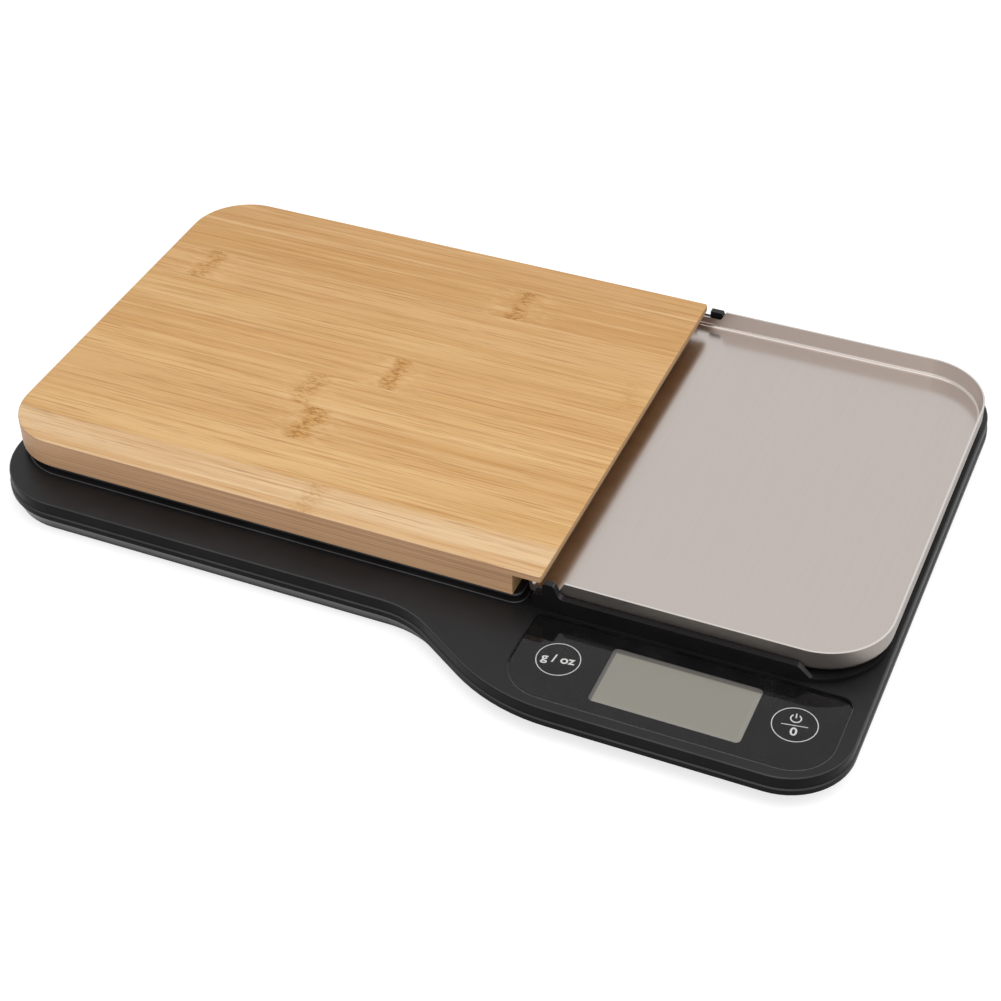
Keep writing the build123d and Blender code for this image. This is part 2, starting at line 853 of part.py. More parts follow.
with BuildPart() as battery_bridge:
    with BuildSketch(Plane.YZ.offset(bay_x - bay_length / 2)):
        with Locations((bay_y, aaa_z)):
            Rectangle(aaa_pitch + contact_width, contact_height)
    extrude(amount=contact_plate)
    with BuildSketch(Plane.YZ.offset(bay_x - bay_length / 2 + contact_plate)):
        with Locations(*aaa_places):
            Circle(contact_tip)
    extrude(amount=contact_depth - contact_plate, taper=contact_angle)

with BuildPart() as battery_contacts:
    with BuildSketch(Plane.YZ.offset(bay_x + bay_length / 2)):
        with Locations(*aaa_places):
            Rectangle(contact_width, contact_height)
    extrude(amount=-contact_plate)
    with BuildSketch(Plane.YZ.offset(bay_x + bay_length / 2 - contact_plate)):
        with Locations(*aaa_places):
            Circle(contact_tip)
    extrude(amount=contact_plate - contact_depth, taper=contact_angle)

with BuildPart() as battery_door:
    block(bay_x, bay_y, door_length, door_width, base_bottom, door_top)
    for tab_x, tab_y in tab_places:
        block(tab_x, tab_y, tab_length, tab_out, door_top - tab_thickness, door_top)
    with BuildSketch(Plane.XY.offset(base_bottom)):
        with Locations((bay_x + door_length / 2 - grip_inset, bay_y)):
            with GridLocations(grip_pitch, 0, grip_count, 1):
                SlotOverall(grip_length, grip_width, rotation=90)
    extrude(amount=grip_depth, mode=Mode.SUBTRACT)

# Leads from the load cell and the battery bay to the circuit board
with BuildPart() as cell_lead:
    lead([
        (tray_x, gauge_front),
        (tray_x, gauge_front - lead_run),
        (panel_x, circuit_back + lead_run / 2),
        (panel_x, circuit_back),
    ])

with BuildPart() as battery_lead:
    lead([
        (bay_end, bay_y),
        (bay_end + lead_run, bay_y),
        (bay_end + 2 * lead_run, bay_y - lead_run),
        (circuit_left - lead_run, panel_y + lead_run),
        (circuit_left - lead_run + lead_shift, panel_y),
        (circuit_left, panel_y),
    ])

pieces = {
    "top_cover": top_cover,
    "bottom_cover": bottom_cover,
    "rubber_feet": rubber_feet,
    "housing_screws": housing_screws,
    "panel_lens": panel_lens,
    "panel_mask": panel_mask,
    "lcd_glass": lcd_glass,
    "lcd_frame": lcd_frame,
    "lcd_connector": lcd_connector,
    "circuit_board": circuit_board,
    "circuit_screws": circuit_screws,
    "processor": processor,
    "touch_pads": touch_pads,
    "load_cell": load_cell,
    "strain_gauge": strain_gauge,
    "cell_base_plate": cell_base_plate,
    "cell_base_screws": cell_base_screws,
    "cell_top_plate": cell_top_plate,
    "weighing_platform": weighing_platform,
    "platform_screws": platform_screws,
    "tray_pads": tray_pads,
    "steel_tray": steel_tray,
    "cutting_board": cutting_board,
    "board_pads": board_pads,
    "batteries": batteries,
    "battery_bridge": battery_bridge,
    "battery_contacts": battery_contacts,
    "battery_door": battery_door,
    "cell_lead": cell_lead,
    "battery_lead": battery_lead,
}

os.makedirs("parts", exist_ok=True)
for name, piece in pieces.items():
    piece.part.label = name
    export_step(piece.part, f"parts/{name}.step")
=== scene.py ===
import math

import bmesh
import bpy
from mathutils import Matrix, Vector


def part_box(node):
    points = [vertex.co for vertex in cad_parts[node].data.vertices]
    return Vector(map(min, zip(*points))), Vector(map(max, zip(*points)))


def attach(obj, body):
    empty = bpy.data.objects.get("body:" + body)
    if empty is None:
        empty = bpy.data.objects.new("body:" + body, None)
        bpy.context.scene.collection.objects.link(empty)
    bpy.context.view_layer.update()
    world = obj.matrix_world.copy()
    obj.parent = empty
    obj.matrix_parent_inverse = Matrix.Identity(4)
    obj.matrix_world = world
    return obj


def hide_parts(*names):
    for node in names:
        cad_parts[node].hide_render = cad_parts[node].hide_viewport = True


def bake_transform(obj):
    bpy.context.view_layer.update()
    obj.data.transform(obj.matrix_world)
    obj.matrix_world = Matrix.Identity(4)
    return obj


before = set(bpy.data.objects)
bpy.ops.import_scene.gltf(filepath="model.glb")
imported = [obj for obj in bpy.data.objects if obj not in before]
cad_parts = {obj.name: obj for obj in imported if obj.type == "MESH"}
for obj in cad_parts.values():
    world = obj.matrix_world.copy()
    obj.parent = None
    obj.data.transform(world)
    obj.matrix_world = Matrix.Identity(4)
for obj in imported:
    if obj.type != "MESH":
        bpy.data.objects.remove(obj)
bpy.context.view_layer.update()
scene = bpy.context.scene
scene.view_settings.view_transform = "Standard"

MM = 0.001
X, Y, Z = range(3)
WHITE = (1.0, 1.0, 1.0, 1.0)
# Corners of a square, in order
CORNERS = [(-1, -1), (1, -1), (1, 1), (-1, 1)]
# Most values of a noise lie in this range
USUAL = (0.3, 0.7)


def placed(name, data):
    """New object in the scene."""
    thing = bpy.data.objects.new(name, data)
    scene.collection.objects.link(thing)
    return thing


def grey(value):
    return (value, value, value)


class Look:
    """One node material, with short calls for the nodes that it is made of."""

    def __init__(self, name, **sockets):
        self.material = bpy.data.materials.new(name)
        self.material.use_nodes = True
        self.tree = self.material.node_tree
        self.shader = self.tree.nodes["Principled BSDF"]
        self.shade(**sockets)
        self.coords = self.node("ShaderNodeTexCoord")
        self.place = self.coords.outputs["Object"]
        self.x, self.y, self.z = self.parts(self.place)

    def shade(self, **sockets):
        """Feeds sockets of the shader, their names written with underscores."""
        for name, value in sockets.items():
            self.feed(value, self.shader.inputs[name.replace("_", " ")])

    def feed(self, value, socket):
        """Links a socket to another one, or sets it to a plain value."""
        if isinstance(value, bpy.types.NodeSocket):
            self.tree.links.new(value, socket)
        else:
            socket.default_value = value

    def node(self, kind):
        return self.tree.nodes.new(kind)

    def math(self, operation, *values):
        node = self.node("ShaderNodeMath")
        node.operation = operation
        for value, socket in zip(values, node.inputs):
            self.feed(value, socket)
        return node.outputs[0]

    def plus(self, a, b):
        return self.math("ADD", a, b)

    def minus(self, a, b):
        return self.math("SUBTRACT", a, b)

    def times(self, a, b):
        return self.math("MULTIPLY", a, b)

    def larger(self, a, b):
        return self.math("MAXIMUM", a, b)

    def size(self, value):
        """Value without its sign."""
        return self.math("ABSOLUTE", value)

    def parts(self, vector):
        """Sockets of a vector's x, y and z."""
        node = self.node("ShaderNodeSeparateXYZ")
        self.feed(vector, node.inputs[0])
        return node.outputs

    def facing(self):
        """Parts of the surface's direction along the three axes."""
        return self.parts(self.coords.outputs["Normal"])

    def bevelled(self):
        """1 on bevels and rounded edges, which are neither upright nor level."""
        slope = self.facing()[Z]
        return self.times(self.span(slope, 0.3, 0.55), self.fade(slope, 0.86, 0.97))

    def stretched(self, along, across, upward=None, shift=0.0):
        """Object coordinates with a scale for each axis, in cycles per metre, and a shift along x."""
        scaled = (
            self.plus(self.times(self.x, along), shift),
            self.times(self.y, across),
            self.times(self.z, upward or across),
        )
        node = self.node("ShaderNodeCombineXYZ")
        for value, socket in zip(scaled, node.inputs):
            self.feed(value, socket)
        return node.outputs[0]

    def noise(self, vector=None, scale=1.0, detail=2.0, roughness=0.5):
        node = self.node("ShaderNodeTexNoise")
        self.feed(vector or self.place, node.inputs["Vector"])
        node.inputs["Scale"].default_value = scale
        node.inputs["Detail"].default_value = detail
        node.inputs["Roughness"].default_value = roughness
        return node.outputs["Fac"]

    def cells(self, scale):
        """Distance from the middle of the nearest of many small cells."""
        node = self.node("ShaderNodeTexVoronoi")
        self.feed(self.place, node.inputs["Vector"])
        node.inputs["Scale"].default_value = scale
        return node.outputs["Distance"]

    def span(self, value, low, high, start=0.0, end=1.0, curve="SMOOTHSTEP"):
        """Goes from start to end as a value goes from low to high, and holds beyond them."""
        node = self.node("ShaderNodeMapRange")
        node.interpolation_type = curve
        self.feed(value, node.inputs["Value"])
        for socket, number in zip(("From Min", "From Max", "To Min", "To Max"), (low, high, start, end)):
            node.inputs[socket].default_value = number
        return node.outputs["Result"]

    def fade(self, value, low, high, start=1.0):
        """Falls from start to 0 as a value goes from low to high."""
        return self.span(value, low, high, start, 0.0)

    def mix(self, factor, a, b):
        """Colour between two others, each a tuple or a socket."""
        node = self.node("ShaderNodeMix")
        node.data_type = "RGBA"
        self.feed(factor, node.inputs[0])
        for value, socket in zip((a, b), (node.inputs[6], node.inputs[7])):
            self.feed((*value, 1.0) if isinstance(value, tuple) else value, socket)
        return node.outputs[2]

    def steps(self, value, colours):
        """Colour that changes in equal, hard steps as a value goes from 0 to 1."""
        node = self.node("ShaderNodeValToRGB")
        node.color_ramp.interpolation = "CONSTANT"
        stops = node.color_ramp.elements
        while len(stops) < len(colours):
            stops.new(0.5)
        for number, colour in enumerate(colours):
            stops[number].position = number / len(colours)
            stops[number].color = (*colour, 1.0)
        self.feed(value, node.inputs[0])
        return node.outputs[0]

    def bump(self, height, distance):
        node = self.node("ShaderNodeBump")
        self.feed(height, node.inputs["Height"])
        node.inputs["Strength"].default_value = 1.0
        node.inputs["Distance"].default_value = distance
        self.shade(Normal=node.outputs[0])


# Bamboo board

STRIP_WIDTH = 21.75 * MM
BACK_SEAM = 114.5 * MM
# Step in the noise from strip to strip, so that no two have the same grain
GRAIN_SHIFT = 7.31
# Tones of the strips, from the back
STRIP_TONES = [
    (0.59, 0.338, 0.138), (0.572, 0.318, 0.118), (0.645, 0.383, 0.165), (0.645, 0.392, 0.163),
    (0.623, 0.357, 0.141), (0.68, 0.418, 0.178), (0.643, 0.38, 0.158), (0.697, 0.438, 0.193),
    (0.73, 0.51, 0.30),
]
# Growth nodes: place along the board in mm, strip counted from 0 at the back, strength, half width in mm
GROWTH_NODES = [
    (-19, 1, 1.0, 6.5), (-163, 2, 0.8, 7.0), (47.5, 3, 0.25, 6.0), (-49, 4, 1.0, 5.5),
    (-77.5, 5, 0.7, 8.0), (-67.5, 6, 1.0, 8.5), (-45, 8, 0.4, 7.0),
]


def long_grain(look, tone, shift):
    """Streaks along the strips; the finer ones also show in height and gloss."""
    broad = look.noise(look.stretched(5, 150, shift=shift), detail=4.0)
    paler = look.noise(look.stretched(9, 330, shift=look.plus(shift, 40.0)), detail=3.0)
    fine = look.noise(look.stretched(18, 1150, shift=shift), detail=3.0, roughness=0.6)
    fleck = look.noise(look.stretched(60, 2000, shift=shift))
    look.shade(Roughness=look.span(fine, 0.3, 0.75, 0.42, 0.58))
    look.bump(look.plus(look.times(fine, 0.7), look.times(fleck, 0.3)), 0.04 * MM)
    for streaks, low, high, strength, colour in (
        (broad, 0.42, 0.72, 0.62, (0.55, 0.29, 0.093)),
        (paler, 0.50, 0.78, 0.55, (0.76, 0.52, 0.27)),
        (fine, 0.47, 0.72, 0.80, (0.46, 0.225, 0.068)),
        (fleck, 0.55, 0.78, 0.45, (0.30, 0.15, 0.05)),
    ):
        tone = look.mix(look.span(streaks, low, high, end=strength), tone, colour)
    return tone


def seams(look, tone, strip_place, shift):
    """Glue lines between the strips, stronger and weaker along their length."""
    glue = (0.34, 0.155, 0.05)
    from_middle = look.size(look.minus(look.math("FRACT", strip_place), 0.5))
    strength = look.span(look.noise(look.stretched(18, 3, shift=shift)), 0.35, 0.65, 0.10, 0.55)
    return look.mix(look.times(look.span(from_middle, 0.489, 0.4965), strength), tone, glue)


def growth_scars(look, tone, strip):
    """Dark, crumbled scars at the cane's growth nodes, with paler spots around them."""
    pale, scar_brown, spot_brown = (0.74, 0.50, 0.25), (0.53, 0.265, 0.06), (0.34, 0.145, 0.022)
    unevenness = look.minus(look.noise(look.stretched(60, 210), detail=3.0), 0.5)
    wander = look.times(unevenness, 11 * MM)
    dark_noise = look.noise(look.stretched(400, 1150), detail=1.0, roughness=0.6)
    pale_noise = look.noise(look.stretched(140, 800, shift=3.0), detail=3.0, roughness=0.6)
    scar = 0.0
    halo = 0.0
    for x, number, strength, width in GROWTH_NODES:
        here = look.times(look.math("COMPARE", strip, number, 0.5), strength)
        distance = look.size(look.plus(look.minus(look.x, x * MM), wander))
        scar = look.larger(scar, look.times(here, look.fade(distance, 0.5 * MM, width * MM)))
        halo = look.larger(halo, look.times(here, look.fade(distance, 6 * MM, 24 * MM)))
    pale_spots = look.times(halo, look.span(pale_noise, 0.5, 0.62))
    dark_spots = look.times(scar, look.span(dark_noise, 0.48, 0.58))
    tone = look.mix(look.times(pale_spots, 0.4), tone, pale)
    tone = look.mix(look.times(scar, 0.42), tone, scar_brown)
    return look.mix(look.times(dark_spots, 0.8), tone, spot_brown)


def cut_sides(look, tone, ply_seam):
    """Pores of the end grain, and the long sides with their streaks and the seam of the two plies."""
    end_pale, pore = (0.47, 0.28, 0.125), (0.24, 0.12, 0.045)
    side_pale, side_dark, glue = (0.60, 0.355, 0.200), (0.37, 0.205, 0.115), (0.20, 0.10, 0.045)
    normal = look.facing()
    end = look.span(look.size(normal[X]), 0.6, 0.9)
    pores = look.fade(look.cells(1500.0), 0.12, 0.45)
    end_tone = look.mix(look.times(pores, 0.55), end_pale, pore)
    tone = look.mix(look.times(end, 0.8), tone, end_tone)

    side = look.times(look.fade(look.size(normal[Z]), 0.5, 0.85), look.minus(1.0, end))
    streaks = look.span(look.noise(look.stretched(6, 60, 850), detail=3.0, roughness=0.65), 0.40, 0.66)
    seam = look.fade(look.size(look.minus(look.z, ply_seam)), 0.1 * MM, 0.3 * MM, start=0.5)
    side_tone = look.mix(seam, look.mix(look.times(streaks, 0.8), side_pale, side_dark), glue)
    return look.mix(look.times(side, 0.9), tone, side_tone)


def bamboo(ply_seam):
    """Board of bamboo strips glued side by side, with long grain, seams, growth nodes and cut sides."""
    look = Look("bamboo", Specular_IOR_Level=0.35)
    strip_place = look.math("DIVIDE", look.minus(BACK_SEAM, look.y), STRIP_WIDTH)
    strip = look.math("FLOOR", strip_place)
    shift = look.times(strip, GRAIN_SHIFT)
    tone = look.steps(look.math("DIVIDE", look.plus(strip, 0.5), len(STRIP_TONES)), STRIP_TONES)
    tone = long_grain(look, tone, shift)
    tone = seams(look, tone, strip_place, shift)
    tone = growth_scars(look, tone, strip)
    look.shade(Base_Color=cut_sides(look, tone, ply_seam))
    return look


# Tray, base and panel

def tray_steel(low, high):
    """Satin steel sheet with a very fine brushed grain; inner walls painted paler as a painted reflection,
    the outside duller and painted darker as painted shade, and a painted highlight along the rim.
    """
    satin_dark, satin_light, cloudy = (0.523, 0.471, 0.440), (0.533, 0.481, 0.450), (0.508, 0.458, 0.427)
    inner_wall_painted_reflection, outer_wall_painted_shade, painted_rim_highlight = (0.69, 0.624, 0.586), (0.30, 0.268, 0.249), (0.68, 0.64, 0.61)
    look = Look("tray_steel", Metallic=1.0)
    brush = look.noise(look.stretched(1300, 18, 60))
    soft = look.noise(scale=26.0, detail=3.0)
    tone = look.mix(look.span(brush, *USUAL), satin_dark, satin_light)
    tone = look.mix(look.span(soft, 0.35, 0.7, end=0.25), tone, cloudy)
    normal = look.facing()
    wall = look.fade(look.size(normal[Z]), 0.35, 0.65)
    outward = 0.0
    for axis, place in ((X, look.x), (Y, look.y)):
        arm = look.minus(place, (low[axis] + high[axis]) / 2)
        outward = look.plus(outward, look.times(arm, normal[axis]))
    outside = look.times(wall, look.math("GREATER_THAN", outward, 0.0))
    # Painted reflection on the inner walls, painted shade on the outer walls.
    tone = look.mix(outside, look.mix(wall, tone, inner_wall_painted_reflection), outer_wall_painted_shade)
    # Painted highlight along the top of the rim.
    rim = look.span(look.z, high[Z] - 0.3 * MM, high[Z] - 0.1 * MM)
    dull = look.plus(look.times(wall, 0.3), look.times(outside, 0.15))
    look.shade(
        Base_Color=look.mix(rim, tone, painted_rim_highlight),
        Roughness=look.larger(look.span(soft, *USUAL, 0.19, 0.22), dull),
    )
    return look


def moulded(look, dark, light, rough):
    """Tone of black plastic with faint marks, and edges painted paler as a painted highlight; sets its fine
    spark texture as well.
    """
    mark, painted_edge_highlight = (0.12, 0.115, 0.11), (0.055, 0.053, 0.055)
    spark = look.noise(scale=5200.0, roughness=0.6)
    cloud = look.noise(scale=38.0, detail=4.0, roughness=0.6)
    specks = look.span(look.noise(scale=900.0, detail=1.0), 0.80, 0.83)
    uneven = look.plus(look.times(spark, 0.35), look.times(cloud, 0.65))
    look.shade(Roughness=look.span(uneven, *USUAL, *rough))
    look.bump(spark, 0.008 * MM)
    tone = look.mix(look.span(cloud, *USUAL), dark, light)
    tone = look.mix(look.times(specks, 0.35), tone, mark)
    # Painted highlight: bevels and rounded edges are painted paler, as if they caught the lamps.
    edge_highlight_mask = look.times(look.bevelled(), look.span(cloud, *USUAL, 0.55, 0.85))
    return look.mix(edge_highlight_mask, tone, painted_edge_highlight)


def upper_plastic():
    """Plastic of the upper shell, glossier on level faces than on walls; the walls' lower gloss is painted
    shade.
    """
    look = Look("base_plastic")
    tone = moulded(look, (0.0064, 0.0062, 0.0067), (0.0094, 0.0091, 0.0098), rough=(0.33, 0.42))
    # Painted shade: the gloss depends on which way a face points, so the walls mirror less.
    look.shade(Base_Color=tone, Specular_IOR_Level=look.span(look.facing()[Z], 0.3, 0.9, 0.05, 0.26))
    return look


def lower_plastic(foot, top):
    """Plastic of the lower shell, painted paler as a reflection of the floor, and darker and duller from its
    top to its foot as painted shade.
    """
    look = Look("lower_plastic")
    # Painted reflection: a paler tone than the upper shell's, for the floor that its slope mirrors.
    tone = moulded(look, (0.026, 0.025, 0.026), (0.036, 0.035, 0.036), rough=(0.26, 0.34))
    # Painted shade: darker and less glossy towards the foot, where it would mirror its own shadow on the
    # floor.
    look.shade(
        Base_Color=look.mix(look.fade(look.z, foot, top, start=0.75), tone, grey(0.0)),
        Specular_IOR_Level=look.span(look.z, foot, top, 0.05, 0.5),
    )
    return look


def panel_film():
    """Black film printed on the back of the panel."""
    look = Look("panel_film", Specular_IOR_Level=0.28)
    cloud = look.noise(scale=120.0, detail=3.0)
    look.shade(
        Base_Color=look.mix(cloud, (0.0045, 0.0045, 0.005), (0.0075, 0.0075, 0.008)),
        Roughness=look.span(cloud, *USUAL, 0.035, 0.05),
    )
    return look


def panel_acrylic():
    """Clear panel with the faintest haze of fingerprints; its bevelled edge is painted pale and nearly
    opaque, a painted highlight.
    """
    look = Look("panel_acrylic", Specular_IOR_Level=0.0)
    prints = look.noise(scale=70.0, detail=4.0, roughness=0.6)
    haze = look.span(prints, 0.45, 0.8, end=0.012)
    # Painted highlight: the bevel is pale grey and nearly opaque.
    bevel = look.bevelled()
    look.shade(
        Base_Color=look.mix(bevel, grey(0.30), grey(0.11)),
        Roughness=look.span(prints, 0.45, 0.8, 0.2, 0.4),
        Alpha=look.larger(haze, look.times(bevel, 0.85)),
    )
    return look


def display(low, high):
    """Blank liquid-crystal display: grey-green, with a paler border and the soft shade of the mask."""
    border, mask_shade = (0.262, 0.252, 0.222), (0.065, 0.061, 0.060)
    border_width, border_blur = 1.6 * MM, 0.4 * MM
    left_width, back_width, shade_blur = 1.1 * MM, 1.7 * MM, 0.7 * MM
    look = Look("display", Specular_IOR_Level=0.32)
    inner = 1.0
    for axis, place in ((X, look.x), (Y, look.y)):
        border_start = (high[axis] - low[axis]) / 2 - border_width
        reach = look.size(look.minus(place, (low[axis] + high[axis]) / 2))
        inner = look.times(inner, look.fade(reach, border_start - border_blur, border_start))
    cloud = look.noise(scale=55.0, detail=3.0)
    cell = look.mix(cloud, (0.240, 0.232, 0.193), (0.254, 0.246, 0.205))
    left_end = low[X] + left_width
    back_end = high[Y] - back_width
    left_shade = look.fade(look.x, left_end, left_end + shade_blur)
    back_shade = look.span(look.y, back_end - shade_blur, back_end)
    shaded = look.times(look.larger(left_shade, back_shade), 0.75)
    look.shade(
        Base_Color=look.mix(shaded, look.mix(inner, border, cell), mask_shade),
        Roughness=look.span(cloud, *USUAL, 0.035, 0.05),
    )
    return look


# Parts inside and underneath

def mottled(name, dark, light, scale, rough, bump=0.0):
    """Plain moulded, cast or coated surface: slight mottling of its colour, gloss and height."""
    look = Look(name)
    cloud = look.noise(scale=scale, detail=4.0, roughness=0.6)
    grain = look.noise(scale=scale * 12)
    both = look.times(look.plus(cloud, grain), 0.5)
    look.shade(
        Base_Color=look.mix(look.span(cloud, *USUAL), dark, light),
        Roughness=look.span(both, *USUAL, *rough),
    )
    if bump:
        look.bump(grain, bump)
    return look


def plated(name, dark, light, rough):
    """Rolled, milled or plated metal."""
    look = Look(name, Metallic=1.0)
    marks = look.noise(look.stretched(300, 2400), detail=3.0)
    look.shade(Base_Color=look.mix(marks, dark, light), Roughness=look.span(marks, *USUAL, *rough))
    return look


def circuit_lacquer():
    """Green lacquered board with paler tracks."""
    look = Look("circuit_lacquer")
    tracks = look.span(look.cells(260.0), 0.42, 0.46)
    cloud = look.noise(scale=90.0, detail=3.0)
    green = look.mix(cloud, (0.012, 0.075, 0.03), (0.02, 0.11, 0.045))
    look.shade(
        Base_Color=look.mix(look.times(tracks, 0.6), green, (0.05, 0.2, 0.08)),
        Roughness=look.span(cloud, *USUAL, 0.3, 0.45),
    )
    return look


def battery_jacket(low, high):
    """Printed cell jacket: dark, with a copper-coloured band towards one end."""
    copper = (0.45, 0.25, 0.12)
    band_start, band_full = 0.42, 0.44
    look = Look("battery_jacket", Metallic=0.4)
    cloud = look.noise(scale=160.0, detail=3.0)
    dark = look.mix(cloud, (0.02, 0.024, 0.03), (0.035, 0.04, 0.05))
    half = (high[X] - low[X]) / 2
    from_middle = look.minus(look.x, (low[X] + high[X]) / 2)
    band = look.span(from_middle, half * band_start, half * band_full)
    look.shade(Base_Color=look.mix(band, dark, copper), Roughness=look.span(cloud, *USUAL, 0.28, 0.4))
    return look


def dress(look, *nodes):
    """Gives CAD nodes a material in place of the one they were packed with."""
    for name in nodes:
        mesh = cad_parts[name].data
        mesh.materials.clear()
        mesh.materials.append(look.material)


# The mask laps over the display's glass by this much on each side
mask_lap = 1.4 * MM
glass_low, glass_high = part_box("lcd_glass")
window_low = [place + mask_lap for place in glass_low]
window_high = [place - mask_lap for place in glass_high]
board_low, board_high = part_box("cutting_board")
lower_ply_share = 0.45
ply_seam = board_low[Z] + (board_high[Z] - board_low[Z]) * lower_ply_share
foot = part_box("bottom_cover")[0][Z]
# The lower shell's shade ends a little above the seam of the two shells
shade_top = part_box("top_cover")[0][Z] + 1.0 * MM
rubber = {"scale": 200.0, "rough": (0.75, 0.95), "bump": 0.02 * MM}

dress(upper_plastic(), "top_cover", "weighing_platform")
dress(lower_plastic(foot, shade_top), "bottom_cover", "battery_door")
dress(bamboo(ply_seam), "cutting_board")
dress(tray_steel(*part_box("steel_tray")), "steel_tray")
dress(panel_film(), "panel_mask")
dress(panel_acrylic(), "panel_lens")
dress(display(window_low, window_high), "lcd_glass")
dress(circuit_lacquer(), "circuit_board")
dress(battery_jacket(*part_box("batteries")), "batteries")
dress(mottled("foot_rubber", grey(0.022), grey(0.04), **rubber), "rubber_feet")
dress(mottled("pad_rubber", grey(0.03), grey(0.05), **rubber), "board_pads", "tray_pads")
dress(
    mottled("elastomer", (0.08, 0.08, 0.085), (0.12, 0.12, 0.125), scale=300.0, rough=(0.6, 0.8)),
    "lcd_connector", "touch_pads",
)
dress(
    mottled("white_plastic", (0.66, 0.66, 0.63), (0.76, 0.76, 0.73), scale=120.0, rough=(0.4, 0.55)),
    "lcd_frame",
)
dress(
    mottled("white_sealant", (0.70, 0.70, 0.66), (0.82, 0.82, 0.79), scale=400.0, rough=(0.35, 0.5),
            bump=0.05 * MM),
    "strain_gauge",
)
dress(mottled("black_resin", grey(0.006), grey(0.012), scale=300.0, rough=(0.15, 0.3)), "processor")
dress(
    mottled("lead_plastic", (0.03, 0.03, 0.032), (0.05, 0.05, 0.052), scale=300.0, rough=(0.4, 0.55)),
    "cell_lead", "battery_lead",
)
dress(
    plated("zinc_plate", (0.42, 0.42, 0.43), (0.55, 0.55, 0.56), rough=(0.3, 0.45)),
    "housing_screws", "circuit_screws", "cell_base_screws", "platform_screws",
    "cell_base_plate", "cell_top_plate",
)
dress(
    plated("milled_aluminium", (0.66, 0.66, 0.67), (0.76, 0.76, 0.77), rough=(0.32, 0.45)),
    "load_cell",
)
dress(
    plated("nickel_plate", (0.55, 0.52, 0.48), (0.66, 0.63, 0.58), rough=(0.2, 0.35)),
    "battery_bridge", "battery_contacts",
)


# Load cell

def bending_cell():
    """Puts a copy of the load cell in the scene in place of the CAD part, which it hides."""
    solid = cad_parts["load_cell"]
    bar_piece = placed("load_cell_bar", solid.data.copy())
    bar_piece.matrix_world = solid.matrix_world
    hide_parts("load_cell")
    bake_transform(bar_piece)


bending_cell()


# Print on the panel

LEFT_KEY = (71.75 * MM, -98.65 * MM)
RIGHT_KEY = (161.6 * MM, -97.5 * MM)
RING_RADIUS = 8.25 * MM
LINE_WIDTH = 0.34 * MM
LEGEND_TURN = math.radians(9.0)
UNIT_HEIGHT = 5.6 * MM
ZERO_HEIGHT = 5.4 * MM
ZERO_DROP = 3.6 * MM
INK_GAP = 0.03 * MM
PRINT_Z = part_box("panel_mask")[1][Z] + INK_GAP


def white_print():
    """Pale ink of the legends, slightly uneven."""
    look = Look("white_print")
    uneven = look.noise(scale=2600.0)
    look.shade(
        Base_Color=look.mix(uneven, (0.50, 0.50, 0.49), (0.66, 0.66, 0.65)),
        Roughness=look.span(uneven, *USUAL, 0.4, 0.6),
    )
    return look


INK = white_print()


def printed(mesh):
    """Piece of ink on the panel."""
    mesh.materials.clear()
    mesh.materials.append(INK.material)
    piece = placed(mesh.name, mesh)
    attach(piece, "base")
    return piece


def drawn(name, draw, *details):
    """Flat mesh that a function draws into a bmesh."""
    shape = bmesh.new()
    draw(shape, *details)
    mesh = bpy.data.meshes.new(name)
    shape.to_mesh(mesh)
    shape.free()
    return mesh


def arc_band(shape, x, y, radius, width, start, end, count=96):
    """Flat band along an arc, its angles in degrees."""
    centre = Vector((x, y, PRINT_Z))
    rows = []
    for step in range(count + 1):
        angle = math.radians(start + (end - start) * step / count)
        ray = Vector((math.cos(angle), math.sin(angle), 0.0))
        rows.append([shape.verts.new(centre + ray * (radius + side * width / 2)) for side in (-1, 1)])
    for (a, b), (c, d) in zip(rows, rows[1:]):
        shape.faces.new((a, b, d, c))


def bar(shape, x, y, length, height):
    """Flat bar centred on a place."""
    shape.faces.new([
        shape.verts.new((x + across * length / 2, y + along * height / 2, PRINT_Z))
        for across, along in CORNERS
    ])


def power_sign(shape):
    """Broken ring with a stroke in its gap, and below it the line across the key."""
    radius, ring_rise = 1.9 * MM, 3.1 * MM
    stroke, stroke_height, stroke_rise = 0.5 * MM, 2.3 * MM, 1.3 * MM
    line_length, line_drop = 9.6 * MM, 0.4 * MM
    gap_end, gap_start = 125, 415
    x, y = RIGHT_KEY
    ring_y = y + ring_rise
    arc_band(shape, x, ring_y, radius, stroke, gap_end, gap_start, count=48)
    bar(shape, x, ring_y + stroke_rise, stroke, stroke_height)
    bar(shape, x, y - line_drop, line_length, LINE_WIDTH)


def words(name, text, x, y, height):
    """Letters, turned into a flat mesh and made slightly bolder."""
    boldness = 0.02
    curve = bpy.data.curves.new(name + "_curve", "FONT")
    curve.body = text
    curve.align_x = "CENTER"
    curve.align_y = "CENTER"
    curve.size = height
    curve.offset = height * boldness
    letters = placed(name + "_letters", curve)
    bpy.context.view_layer.update()
    mesh = bpy.data.meshes.new_from_object(letters.evaluated_get(bpy.context.evaluated_depsgraph_get()))
    bpy.data.objects.remove(letters)
    mesh.name = name
    mesh.transform(Matrix.Translation((x, y, PRINT_Z)))
    return mesh


def turn(piece, centre):
    """Turns a legend to the slight angle at which the legends stand on the panel."""
    around = Matrix.Translation((*centre, 0.0))
    piece.data.transform(around @ Matrix.Rotation(LEGEND_TURN, 4, "Z") @ around.inverted())


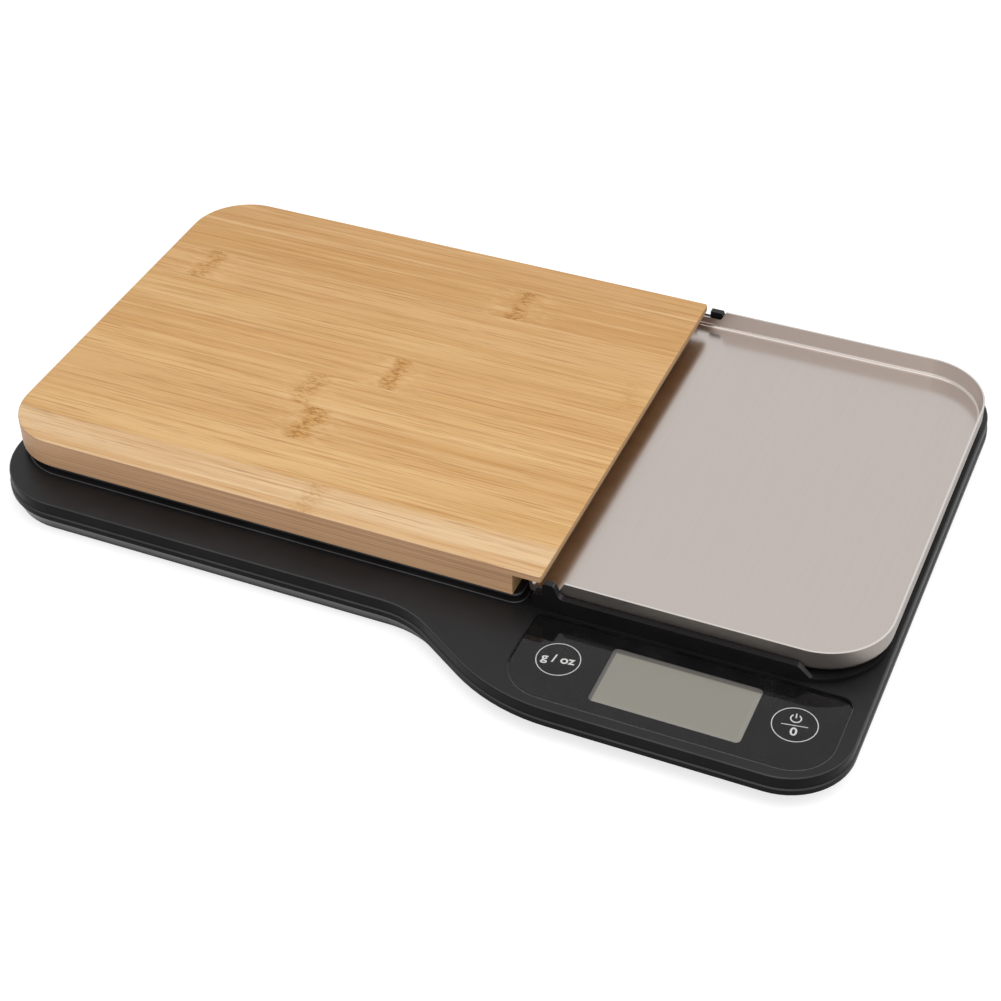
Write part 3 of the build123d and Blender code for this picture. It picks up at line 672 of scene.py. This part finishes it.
for side, key in (("left", LEFT_KEY), ("right", RIGHT_KEY)):
    printed(drawn(f"key_ring_{side}", arc_band, *key, RING_RADIUS, LINE_WIDTH, 0, 360))
zero_place = (RIGHT_KEY[X], RIGHT_KEY[Y] - ZERO_DROP)
turn(printed(drawn("power_sign", power_sign)), RIGHT_KEY)
turn(printed(words("unit_legend", "g / oz", *LEFT_KEY, UNIT_HEIGHT)), LEFT_KEY)
turn(printed(words("zero_legend", "0", *zero_place, ZERO_HEIGHT)), RIGHT_KEY)


# Floor, backdrop, lamps and camera

def background_rays(tree):
    """1 for the rays that show the background: those of the camera, of reflections and of clear pieces."""
    path = tree.nodes.new("ShaderNodeLightPath")
    shown = path.outputs["Is Camera Ray"]
    for kind in ("Is Glossy Ray", "Is Transmission Ray"):
        either = tree.nodes.new("ShaderNodeMath")
        either.operation = "MAXIMUM"
        tree.links.new(shown, either.inputs[0])
        tree.links.new(path.outputs[kind], either.inputs[1])
        shown = either.outputs[0]
    return shown


def floor_paper():
    """Pale paper that glows for the rays of the background only, and a little more far out."""
    look = Look("floor", Base_Color=(*grey(0.46), 1.0), Roughness=0.9, Specular_IOR_Level=0.1)
    reach = look.node("ShaderNodeVectorMath")
    reach.operation = "LENGTH"
    look.feed(look.place, reach.inputs[0])
    near, far, near_glow, far_glow = 0.5, 2.0, 0.69, 0.79
    glow = look.span(reach.outputs["Value"], near, far, near_glow, far_glow, curve="LINEAR")
    look.shade(Emission_Color=WHITE, Emission_Strength=look.times(background_rays(look.tree), glow))
    return look


def studio():
    """White backdrop, dimmer as a light than it shows."""
    world = bpy.data.worlds.new("studio")
    world.use_nodes = True
    nodes, links = world.node_tree.nodes, world.node_tree.links
    choose = nodes.new("ShaderNodeMixShader")
    links.new(background_rays(world.node_tree), choose.inputs[0])
    light, shown = nodes["Background"], nodes.new("ShaderNodeBackground")
    for number, (source, strength) in enumerate(((light, 0.45), (shown, 1.0)), start=1):
        source.inputs["Color"].default_value = WHITE
        source.inputs["Strength"].default_value = strength
        links.new(source.outputs[0], choose.inputs[number])
    links.new(choose.outputs[0], nodes["World Output"].inputs["Surface"])
    return world


def softbox(name, place, size, power, sheen):
    """Square lamp in two layers, turned towards the part; one isn't mirrored, so that metal doesn't clip."""
    layers = (("wash", 1.0 - sheen, 1.0, False), ("sheen", sheen, 0.98, True))
    for layer, share, nearness, mirrored in layers:
        lamp = bpy.data.lights.new(f"{name}_{layer}", "AREA")
        lamp.shape = "SQUARE"
        lamp.size = size
        lamp.energy = power * share
        holder = placed(f"{name}_{layer}", lamp)
        holder.location = Vector(place) * nearness
        holder.rotation_euler = (-Vector(place)).to_track_quat("-Z", "Y").to_euler()
        holder.visible_glossy = mirrored


floor_half = 4.0
floor_corners = [(across * floor_half, along * floor_half, 0.0) for across, along in CORNERS]
floor_mesh = bpy.data.meshes.new("floor")
floor_mesh.from_pydata(floor_corners, [], [(0, 1, 2, 3)])
floor_mesh.materials.append(floor_paper().material)
floor = placed("floor", floor_mesh)

scene.world = studio()
softbox("overhead", place=(0.35, -0.1, 1.4), size=1.9, power=18.3, sheen=0.38)
softbox("front_fill", place=(0.4, -1.4, 0.5), size=1.0, power=6.0, sheen=0.3)

# The photograph's camera, as solved from its perspective
camera_data = bpy.data.cameras.new("camera")
camera_data.sensor_width = 36.0
camera_data.lens = 74.91
camera_data.clip_start = 0.01
camera_place = Vector((0.27775, -0.6047, 0.5520))
camera_right = Vector((0.91826, 0.39553, -0.01893))
camera_up = Vector((-0.24206, 0.59851, 0.76368))
camera_axes = Matrix((camera_right, camera_up, camera_right.cross(camera_up))).transposed()
camera = placed("camera", camera_data)
camera.matrix_world = Matrix.Translation(camera_place) @ camera_axes.to_4x4()
scene.camera = camera
